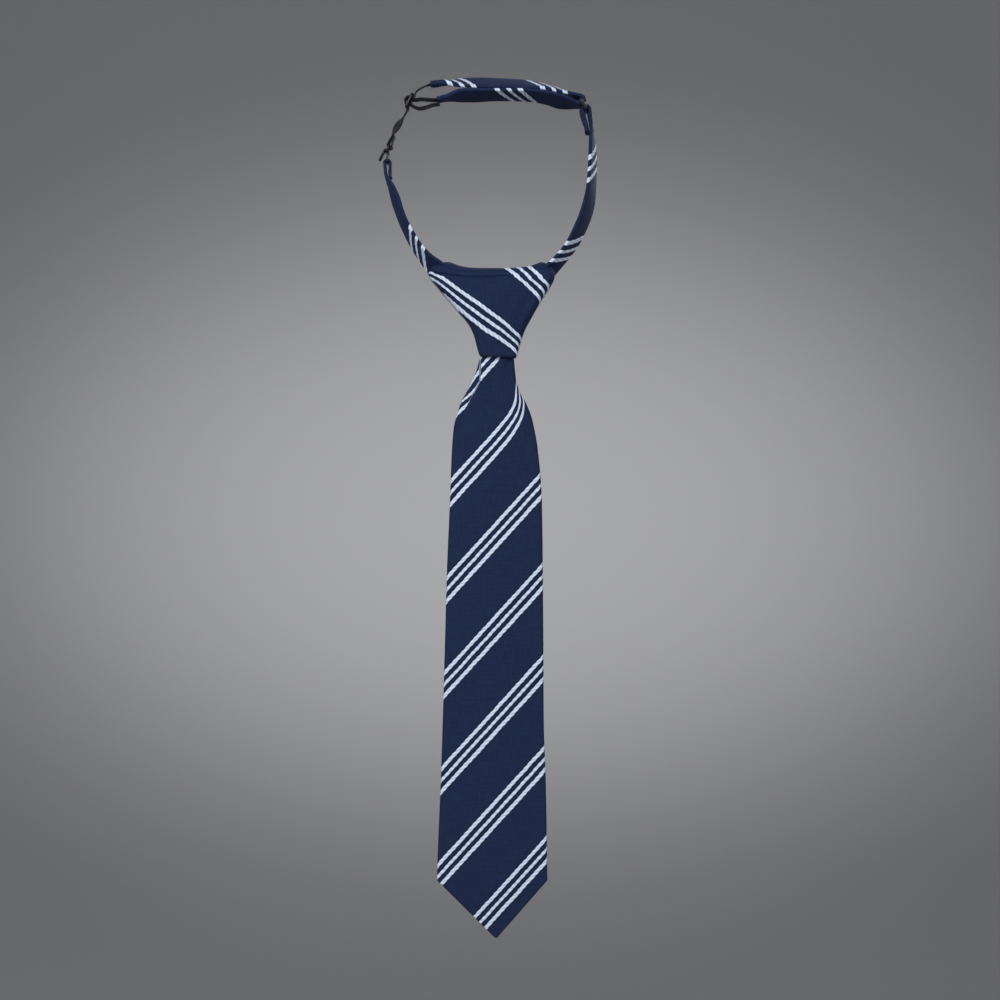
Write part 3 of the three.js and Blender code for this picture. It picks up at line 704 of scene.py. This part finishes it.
def strap_rings(rows, per_step, pillow, seam, shifts, side=12):
    """Sweeps a flat section with round edges along a strap's line, read clockwise round the neck.
    pillow swells its faces and seam sinks a groove down the middle of its neck side. shifts gives
    how far the cloth is shifted along, at lengths along the strap."""
    line = strap_line(rows, per_step)
    heading = np.gradient(line[:, :2], axis=0)
    heading /= np.linalg.norm(heading, axis=1)[:, None]
    length = np.concatenate([[0], np.cumsum(np.linalg.norm(np.diff(line[:, :2], axis=0), axis=1))])
    rings = []
    cloth = []
    for i, (x, z, y, width, thick, lean) in enumerate(line):
        out = np.array([-heading[i, 1], 0, heading[i, 0]])
        back = np.array([0.0, 1.0, 0.0])
        turn = math.radians(lean)
        across = back * math.cos(turn) + out * math.sin(turn)
        up = out * math.cos(turn) - back * math.sin(turn)
        half = 0.5 * thick
        flat = 0.5 * width - half
        section = []
        for t in np.linspace(-1, 1, 2 * side)[:-1]:
            section.append((-flat * t, half + pillow * (1 - t * t)))
        for t in np.radians(np.linspace(90, 270, ARC_POINTS + 1)[:-1]):
            section.append((-flat + half * math.cos(t), half * math.sin(t)))
        for t in np.linspace(-1, 1, 2 * side)[:-1]:
            t = math.copysign(SEAM_HALF / flat, t) if abs(t) < 1 / (2 * side - 1) + 0.001 else t
            groove = seam * math.exp(-((t * flat / 0.45) ** 2))
            section.append((flat * t, -half - 0.5 * pillow * (1 - t * t) + groove))
        for t in np.radians(np.linspace(-90, 90, ARC_POINTS + 1)[:-1]):
            section.append((flat + half * math.cos(t), half * math.sin(t)))
        section = np.array(section)
        centre = np.array([x, y, z])
        ring = centre + section[:, :1] * across + section[:, 1:] * up
        loop = np.vstack([section, section[:1]])
        around = np.concatenate([[0], np.cumsum(np.linalg.norm(np.diff(loop, axis=0), axis=1))])
        around -= flat
        around[3 * side + ARC_POINTS - 1:] -= around[-1] - around[0]
        along = length[i] + np.interp(length[i], *zip(*shifts))
        rings.append(ring)
        cloth.append(np.stack([BAND_SLANT * around, np.full(len(around), along)], axis=1))
    return np.array(rings), np.array(cloth)


def make_strap(name, rows, finish, per_step=8, pillow=0.0, seam=0.0, shifts=((0, 0),), side=12):
    """A strap's piece and its rings."""
    rings, cloth = strap_rings(rows, per_step, pillow, seam, shifts, side)
    return sew_skin(name, rings, cloth, finish), rings


left_lap = round_bar(LAP_BAR, 1.6, 180, 0, LAP_STEPS, 10.0, 1.4)
left_rows = [*LEFT_BAND, *left_lap, *LEFT_END]
left_band, left_shape = make_strap("tie_left_band", left_rows, striped_cloth,
                                   pillow=BAND_PILLOW, seam=BAND_SEAM,
                                   shifts=((40, -14.0), (62, -22.0), (95, -43.0)))
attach(left_band, "root")
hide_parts("left_neck_band")

# The right neck band is a longer strip of the same make. Its end is lapped round the lower bar
# of the ring and stitched on the neck side, and its other end is held in the knot.
RING_TOP = (49.6, -2.7)
RING_BOTTOM = (52.8, -8.6)
RING_LAP = 2.2
RIGHT_END = (
    full(53.8, -21.5, -5),
    full(53.4, -17.5, -3),
    full(51.8, -13.0, 0),
)
RIGHT_BAND = (
    full(55.6, -13.0, 1),
    full(56.2, -18.5, 3),
    full(56.7, -24.5, 8),
    full(57.0, -31.0, 12),
    full(57.0, -39.0, 14),
    full(56.6, -47.8, 15),
    full(56.1, -55.0, 17),
    full(55.0, -62.0, 20),
    full(52.9, -69.6, 21),
    full(49.9, -77.0, 21),
    full(46.2, -84.6, 20),
    full(41.9, -91.1, 18),
    full(36.4, -97.6, 19),
    (30.6, -103.6, -0.5, 18.0, 2.0, 22),
    (24.5, -109.0, -1.0, 15.0, 2.0, 24),
)
right_lap = round_bar(RING_BOTTOM, RING_LAP, 175, 5, LAP_STEPS, BAND_WIDTH, BAND_THICK)
right_rows = [*RIGHT_END, *right_lap, *RIGHT_BAND]
right_band, right_shape = make_strap("tie_right_band", right_rows, striped_cloth,
                                     pillow=BAND_PILLOW, seam=BAND_SEAM,
                                     shifts=((12, 32.0), (20, 18.0)))
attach(right_band, "root")
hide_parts("right_neck_band")

# The back band is one strip folded in two layers over the ring's upper bar. The outer layer's
# end holds the adjuster webbing and the inner layer's end holds the slide loop, both sewn in.
BACK_BAND = (
    (-38.5, 7.2, 0.0, 13.0, 3.2, 3),
    (-31.0, 8.2, 0.0, 13.0, 3.2, 6),
    (-24.0, 8.3, 0.0, 16.0, 2.4, 19),
    full(-12.4, 8.4, 25),
    full(2.4, 8.1, 24),
    full(17.1, 7.4, 22),
    full(28.9, 6.0, 16),
    full(38.0, 3.6, 12),
    full(45.0, 1.1, 3),
    *round_bar(RING_TOP, RING_LAP, 62, -110, 7, BAND_WIDTH, BAND_THICK),
    full(44.4, -4.0, 8),
    full(38.0, -2.6, 17),
    full(29.0, -0.2, 14),
    full(18.0, 1.1, 12),
    full(0.0, 1.3, 11),
    full(-12.4, 1.0, 14),
    (-22.0, 0.8, 0.0, 16.0, 2.4, 14),
    (-29.0, -0.6, 0.0, 11.0, 2.6, 5),
    (-34.8, -1.8, 0.0, 11.0, 2.6, 0),
)
back_band, back_shape = make_strap("tie_back_band", BACK_BAND, striped_cloth,
                                   pillow=BAND_PILLOW, seam=BAND_SEAM,
                                   shifts=((86, 0.0), (102, -11.0), (150, -11.0), (182, -22.0)))
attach(back_band, "root")
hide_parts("back_band")

# The adjuster webbing and the slide loop are narrow black ribbed tape. The webbing is lapped
# round the eye, woven through the slide and sewn into the outer layer of the back band; the
# loop holds the slide's middle bar and is sewn into the inner layer.
SLIDE = (-51.0, -2.7)
SLIDE_HEADING = math.radians(245)
SLIDE_PITCH = 4.3
EYE_TOP = (-62.5, -29.2)
TAPE_WIDTH = 10.0
TAPE_THICK = 0.9
TAPE_RADIUS = 1.35  # the tape's middle goes round the bars at this radius
OVER_RADIUS = 2.55  # and over the loop's tape on the middle bar at this one
RIB_LENGTH = 1.1
PICK_WIDTH = 0.7
TAPE_STEPS = 6
TAPE_SIDE = 6


def at_slide(along, off):
    """A row of tape at the slide, by its place along the slide and its height off its plane."""
    way = (math.cos(SLIDE_HEADING), math.sin(SLIDE_HEADING))
    x = SLIDE[0] + way[0] * along + way[1] * off
    z = SLIDE[1] + way[1] * along - way[0] * off
    return (x, z, 0.0, TAPE_WIDTH, TAPE_THICK, 0)


def weave_rows():
    """The tape's way from under an outer bar to over the middle one, along and off the slide."""
    lean = math.acos((TAPE_RADIUS + OVER_RADIUS) / SLIDE_PITCH)
    under = [(SLIDE_PITCH - TAPE_RADIUS * math.cos(t), TAPE_RADIUS * math.sin(t))
             for t in (-math.pi / 2, -math.pi / 3, -math.pi / 5, -lean)]
    over = [(OVER_RADIUS * math.cos(t), OVER_RADIUS * math.sin(t))
            for t in (lean, math.pi / 4, math.pi / 3)]
    return under + over


def make_webbing():
    """Black tape ribbed across, a little greyer where it is rubbed."""
    finish, shader, tree = new_finish("black_webbing", 0.78, 0.25)
    place, across, along = cloth_place(tree)
    height = calc(tree, "MULTIPLY_ADD", wave(tree, across, PICK_WIDTH), 0.25, wave(tree, along, RIB_LENGTH))
    worn = mottle(tree, place, 1, 1, 0.35)
    lift = ramp(tree, calc(tree, "MULTIPLY_ADD", worn, 1.2, calc(tree, "MULTIPLY", height, 0.3)), 0.3, 1.3)
    colour = blend_colours(tree, lift, paint(12, 12, 15), paint(36, 37, 42))
    rough = calc(tree, "MULTIPLY_ADD", worn, 0.15, 0.68)
    shader.inputs["Sheen Weight"].default_value = 0.1
    dress(tree, shader, colour, rough, height, 0.00012)
    return finish


black_webbing = make_webbing()
half_weave = weave_rows()


def tape(x, z, lean=0):
    """A row of tape away from the bars."""
    return (x, z, 0.0, TAPE_WIDTH, TAPE_THICK, lean)


webbing_rows = [
    tape(-59.7, -23.2),
    tape(-60.9, -26.2),
    *round_bar(EYE_TOP, TAPE_RADIUS, -20, -200, 6, TAPE_WIDTH, TAPE_THICK),
    tape(-62.6, -26.2),
    tape(-60.9, -22.6, 8),
    tape(-59.0, -19.0, 24),
    tape(-57.0, -15.4, 24),
    tape(-54.6, -11.9, 8),
    *[at_slide(along, off) for along, off in half_weave],
    at_slide(0, OVER_RADIUS),
    *[at_slide(-along, off) for along, off in half_weave[::-1]],
    tape(-46.6, 3.4, 10),
    tape(-43.0, 5.8, 12),
    tape(-38.5, 7.2, 4),
    tape(-32.8, 8.0, 5),
]
webbing, webbing_shape = make_strap("tie_webbing", webbing_rows, black_webbing,
                                    per_step=TAPE_STEPS, side=TAPE_SIDE)
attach(webbing, "root")
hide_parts("adjuster_webbing")

loop_rows = [
    tape(-29.1, -0.8, 4),
    tape(-34.8, -1.8),
    tape(-39.0, -1.8),
    tape(-44.0, -1.4),
    tape(-48.0, -1.9),
    *round_bar(SLIDE, TAPE_RADIUS, 65, -115, 8, TAPE_WIDTH, TAPE_THICK),
    tape(-48.6, -5.7),
    tape(-45.4, -6.9),
    tape(-41.0, -6.2),
    tape(-37.0, -4.8),
    tape(-33.0, -4.3),
]
slide_loop, loop_shape = make_strap("tie_slide_loop", loop_rows, black_webbing,
                                    per_step=TAPE_STEPS, side=TAPE_SIDE)
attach(slide_loop, "root")
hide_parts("slide_loop")

# The slide, the eye, the hook and the ring are bent and pressed from wire and coated black. The
# slide has a third bar across its middle, and the hook's tongue goes over the eye's lower bar.
WIRE = 1.2
RING_WIRE = 1.8
TUBE_POINTS = 14
TAPE_SPACE = 11.0  # room for the tape between a frame's rails
BAND_SPACE = 19.0
RAIL_SHARE = 1.15  # the frames' side rails are this much thicker than their bars
CORNER = 1.5  # the frames' corners are bent this round
EYE_BOTTOM = (-64.6, -32.9)
HOOK_BASE = (-63.9, -35.9)
TONGUE_RADIUS = 1.5
TONGUE_WIDTH = 8.0


def make_hardware():
    """A half-gloss black coat, rubbed and scratched to grey in places."""
    finish, shader, tree = new_finish("black_hardware", 0.34, 0.45)
    place = tree.nodes.new("ShaderNodeTexCoord").outputs["Object"]
    grain = mottle(tree, place, 1, 1, 900, 4)
    rubbed = ramp(tree, mottle(tree, place, 1, 1, 260, 3), 0.56, 0.72)
    scratches = ramp(tree, mottle(tree, place, 0.15, 2.2, 1500, 2), 0.62, 0.74)
    worn = calc(tree, "MAXIMUM", calc(tree, "MULTIPLY", scratches, 0.6), rubbed)
    coat = blend_colours(tree, grain, paint(11, 11, 14), paint(24, 24, 28))
    colour = blend_colours(tree, worn, coat, paint(66, 66, 72))
    rough = calc(tree, "MULTIPLY_ADD", worn, 0.12, calc(tree, "MULTIPLY_ADD", grain, 0.2, 0.24))
    relief = calc(tree, "MULTIPLY_ADD", worn, -0.6, grain)
    dress(tree, shader, colour, rough, relief, 0.00005)
    return finish


black_hardware = make_hardware()


def make_tube(name, line, radii, off, finish, closed=False):
    """A round bar along a line of points that lies in one plane. off is that plane's normal."""
    line = np.array(line, float)
    way = np.gradient(line, axis=0)
    if closed:
        way = np.roll(line, -1, axis=0) - np.roll(line, 1, axis=0)
    way /= np.linalg.norm(way, axis=1)[:, None]
    side = np.cross(way, off)
    turns = np.linspace(0, 2 * math.pi, TUBE_POINTS, endpoint=False)
    rings = [centre + radius * (np.outer(np.cos(turns), wing) + np.outer(np.sin(turns), off))
             for centre, radius, wing in zip(line, radii, side)]
    cloth = np.zeros((len(rings), TUBE_POINTS + 1, 2))
    return sew_skin(name, rings, cloth, finish, closed)


def join_parts(name, parts):
    """Joins several meshes into one piece."""
    if len(parts) > 1:
        with bpy.context.temp_override(active_object=parts[0], selected_editable_objects=parts):
            bpy.ops.object.join()
    parts[0].name = name
    parts[0].data.name = name
    return parts[0]


def wire_frame(name, start, heading, bars, inner, wire):
    """A frame of wire with rounded corners and a bar across it at each listed place."""
    along = np.array([math.cos(heading), 0, math.sin(heading)])
    off = np.array([-along[2], 0, along[0]])
    away = np.array([0.0, 1.0, 0.0])
    origin = np.array([start[0], 0, start[1]])
    half = 0.5 * (inner + RAIL_SHARE * wire)
    low, high = min(bars), max(bars)
    line = []
    radii = []
    for x, y, turn in ((high, half, 0), (low, half, 90), (low, -half, 180), (high, -half, 270)):
        inset_x = x - math.copysign(CORNER, x - 0.5 * (low + high))
        inset_y = y - math.copysign(CORNER, y)
        for t in np.radians(turn + np.linspace(0, 90, 9)):
            line.append(origin + along * (inset_x + CORNER * math.cos(t))
                        + away * (inset_y + CORNER * math.sin(t)))
            radii.append(0.5 * wire * (1 + (RAIL_SHARE - 1) * abs(math.sin(t))))
    parts = [make_tube(name, line, radii, off, black_hardware, closed=True)]
    for place in sorted(bars)[1:-1]:
        bar = [origin + along * place + away * y for y in np.linspace(-half, half, 5)]
        parts.append(make_tube(name, bar, [0.5 * wire] * 5, off, black_hardware))
    return parts


def frame_between(name, start, end, inner, wire):
    """A wire frame with one bar at each of two points."""
    reach = (end[0] - start[0], end[1] - start[1])
    heading = math.atan2(reach[1], reach[0])
    return wire_frame(name, start, heading, (0, math.hypot(*reach)), inner, wire)


tongue_rows = [
    (-68.7, -37.9, 0.0, 3.4, 0.8, 0),
    (-68.4, -37.3, 0.0, 5.0, WIRE, 0),
    (-67.0, -34.6, 0.0, TONGUE_WIDTH, WIRE, 0),
    *round_bar(EYE_BOTTOM, TONGUE_RADIUS, 150, -30, 8, TONGUE_WIDTH, WIRE),
    (*HOOK_BASE, 0.0, TONGUE_WIDTH, WIRE, 0),
]
tongue = make_strap("tongue", tongue_rows, black_hardware, per_step=6, side=8)[0]
fittings = {
    "slide_adjuster": wire_frame("slide", SLIDE, SLIDE_HEADING, (-SLIDE_PITCH, 0, SLIDE_PITCH),
                                 TAPE_SPACE, WIRE),
    "eye": frame_between("eye", EYE_TOP, EYE_BOTTOM, TAPE_SPACE, WIRE),
    "hook": [*frame_between("hook", HOOK_BASE, LAP_BAR, TAPE_SPACE, WIRE), tongue],
    "band_ring": frame_between("ring", RING_TOP, RING_BOTTOM, BAND_SPACE, RING_WIRE),
}
for node, parts in fittings.items():
    piece = join_parts(f"tie_{node}", parts)
    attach(piece, "root")
    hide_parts(node)

# The sewing is polyester thread: bars of close stitches through each lapped end, slip stitches
# down the blade's back, a whipped seam up the knot's back and a tack across the blade's flaps.
THREAD_POINTS = 6
THREAD_STEPS = 7
SLIP_ROWS = range(30, 250, 9)
TACK_ROW = 254
TACK_STITCHES = 16
TACK_APART = 0.5
WHIP_ROWS = range(34, 132, 2)
WHIP_REACH = 1.1


def make_thread(name, dark, light):
    """Sewing thread, mottled by its plies."""
    finish, shader, tree = new_finish(name, 0.6, 0.3)
    place = tree.nodes.new("ShaderNodeTexCoord").outputs["Object"]
    ply = mottle(tree, place, 1, 1, 2600, 2)
    rough = calc(tree, "MULTIPLY_ADD", ply, 0.3, 0.45)
    dress(tree, shader, blend_colours(tree, ply, dark, light), rough, ply, 0.00005)
    return finish


navy_thread = make_thread("navy_thread", paint(20, 26, 46), paint(58, 68, 104))
black_thread = make_thread("black_thread", paint(12, 12, 15), paint(52, 53, 60))


def sew(name, stitches, finish, radius=0.14):
    """Sets short arched threads in mm, each from a start to an end and raised along a normal."""
    turns = np.linspace(0, 2 * math.pi, THREAD_POINTS, endpoint=False)
    points = []
    faces = []
    for start, end, normal in stitches:
        start, end, normal = [np.array(v, float) for v in (start, end, normal)]
        normal = normal / np.linalg.norm(normal)
        side = np.cross(end - start, normal)
        side /= np.linalg.norm(side)
        first = len(points)
        for share in np.linspace(0, 1, THREAD_STEPS):
            arch = math.sin(math.pi * share)
            centre = start + (end - start) * share + normal * (1.6 * arch - 0.8) * radius
            thick = radius * (0.55 + 0.45 * arch)
            points += [tuple(MM * (centre + thick * (math.cos(t) * side + math.sin(t) * normal)))
                       for t in turns]
        for r in range(THREAD_STEPS - 1):
            for c in range(THREAD_POINTS):
                low = first + r * THREAD_POINTS + c
                after = first + r * THREAD_POINTS + (c + 1) % THREAD_POINTS
                faces.append((low, after, after + THREAD_POINTS, low + THREAD_POINTS))
    piece = place_mesh(name, points, faces, finish)
    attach(piece, "root")


def across_strap(rings, place, face, inset=2):
    """A bar of close stitches across a strap at one of its rings. face is 0 for the strap's outer
    face and 1 for its other one, and inset keeps the bar off the strap's edges."""
    count = (len(rings[0]) - 2 * ARC_POINTS) // 2
    first = face * (count + ARC_POINTS)
    stitches = []
    for k in range(first + inset, first + count - 1 - inset):
        start = rings[place - 1][k]
        end = rings[place + 1][k + 1]
        wing = rings[place][k + 1] - rings[place][k]
        normal = np.cross(wing, rings[place + 1][k] - rings[place - 1][k])
        centre = rings[place].mean(axis=0)
        if normal @ (rings[place][k] - centre) < 0:
            normal = -normal
        stitches.append((start, end, normal))
    return stitches


def spot_behind(ring, across):
    """The point of a ring's back nearest to a place across it."""
    behind = ring[ring[:, 1] > 0.5 * (ring[:, 1].min() + ring[:, 1].max())]
    return behind[np.argmin(np.abs(behind[:, 0] - across))]


BEHIND = (0.0, 1.0, 0.0)
seam_stitches = []
for i in SLIP_ROWS:
    ring = blade_shape[i]
    middle = 0.5 * (ring[:, 0].min() + ring[:, 0].max())
    start = spot_behind(ring, middle - 0.9)
    end = spot_behind(blade_shape[i + 1], middle + 1.1)
    seam_stitches.append((start, end, BEHIND))
sew("blade_slip_stitches", seam_stitches, navy_thread)

tack_ring = blade_shape[TACK_ROW]
tack_middle = 0.5 * (tack_ring[:, 0].min() + tack_ring[:, 0].max())
tack = []
for k in range(TACK_STITCHES):
    place = tack_middle + TACK_APART * (k - TACK_STITCHES / 2)
    start = spot_behind(blade_shape[TACK_ROW - 1], place)
    end = spot_behind(blade_shape[TACK_ROW + 1], place + 0.5 * TACK_APART)
    tack.append((start, end, BEHIND))
sew("blade_tack", tack, navy_thread)

whipped = []
for i in WHIP_ROWS:
    across = back_seam(KNOT_RIM - knot_shape[i][:, 2].mean())
    start = spot_behind(knot_shape[i], across - WHIP_REACH)
    end = spot_behind(knot_shape[i + 2], across + WHIP_REACH)
    whipped.append((start, end, BEHIND))
sew("knot_whip_stitches", whipped, navy_thread)

# Rings of each band that have a bar of stitches, those under nought counted from its end.
BAND_BARS = ((left_shape, (-8, -12, 76)), (right_shape, (7, 12, 84, 90)),
             (back_shape, (3, 7, -4, -8)))
band_stitches = []
for shape, places in BAND_BARS:
    for place in places:
        band_stitches += across_strap(shape, place, 0)
sew("band_stitches", band_stitches, navy_thread)

tape_stitches = [
    *across_strap(webbing_shape, 3, 0, inset=1),
    *across_strap(loop_shape, -5, 1, inset=1),
]
sew("tape_stitches", tape_stitches, black_thread, radius=0.12)

# The studio: a pale paper floor that sweeps up behind the tie, soft lights and the camera.
FLOOR = -1.35
SWEEP_START = 2.1
SWEEP_RADIUS = 0.5
SWEEP_NEAR = -14.0
SWEEP_TOP = 3.6
SWEEP_SIDE = 12.0
PAPER = (0.36, 0.36, 0.37, 1)
AIR = (0.8, 0.82, 0.86, 1)
AIR_STRENGTH = 0.28
MIDDLE = (0.0024, 0.0, -0.2378)
PHOTO_WIDTH = 0.59
LENS = 85
SENSOR = 36


def make_sweep():
    """The paper, flat in front and curved up into a wall behind."""
    profile = [(SWEEP_NEAR, FLOOR), (SWEEP_START, FLOOR)]
    for t in np.radians(np.linspace(-90, 0, 24)[1:]):
        profile.append((SWEEP_START + SWEEP_RADIUS * math.cos(t),
                        FLOOR + SWEEP_RADIUS * (1 + math.sin(t))))
    profile.append((SWEEP_START + SWEEP_RADIUS, SWEEP_TOP))
    points = []
    for y, z in profile:
        points += [(-SWEEP_SIDE, y, z), (SWEEP_SIDE, y, z)]
    faces = [(2 * i, 2 * i + 1, 2 * i + 3, 2 * i + 2) for i in range(len(profile) - 1)]
    finish, shader = new_finish("studio_paper", 0.9, 0.1)[:2]
    shader.inputs["Base Color"].default_value = PAPER
    return place_mesh("studio_sweep", points, faces, finish)


make_sweep()


def soft_light(name, place, aim, size, power, cone=None, wide=1.0):
    """A round soft light of a power in watts, or a spot where its cone is given in degrees."""
    lamp = bpy.data.lights.new(name, "SPOT" if cone else "AREA")
    if cone:
        lamp.spot_size = math.radians(cone)
        lamp.spot_blend = 1.0
        lamp.shadow_soft_size = size
    else:
        lamp.shape = "DISK"
        lamp.size = size
    lamp.energy = power
    light = bpy.data.objects.new(name, lamp)
    light.location = place
    way = np.array(aim) - np.array(place)
    yaw = math.atan2(way[0], way[1])
    tilt = math.atan2(way[2], math.hypot(way[0], way[1]))
    light.rotation_euler = (math.pi / 2 + tilt, 0, -yaw)
    light.scale = (wide, 1.0, 1.0)
    light.visible_camera = False
    bpy.context.scene.collection.objects.link(light)


soft_light("key_light", (-0.9, -1.6, 0.6), MIDDLE, 1.1, 29)
soft_light("fill_light", (1.3, -1.4, 0.0), MIDDLE, 1.4, 10)
soft_light("back_light", (0.7, 1.3, 0.5), MIDDLE, 1.0, 11)
soft_light("back_glow", (0.0, 0.6, -0.26), (0.0, 2.6, -0.26), 0.25, 116, cone=38, wide=1.75)

world = bpy.data.worlds.new("studio_air")
world.use_nodes = True
world.node_tree.nodes["Background"].inputs[0].default_value = AIR
world.node_tree.nodes["Background"].inputs[1].default_value = AIR_STRENGTH
bpy.context.scene.world = world

lens = bpy.data.cameras.new("camera")
lens.lens = LENS
lens.sensor_width = SENSOR
camera = bpy.data.objects.new("camera", lens)
camera.location = (MIDDLE[0], -PHOTO_WIDTH * LENS / SENSOR, MIDDLE[2])
camera.rotation_euler = (math.pi / 2, 0, 0)
bpy.context.scene.collection.objects.link(camera)
bpy.context.scene.camera = camera
bpy.context.scene.view_settings.view_transform = "Standard"
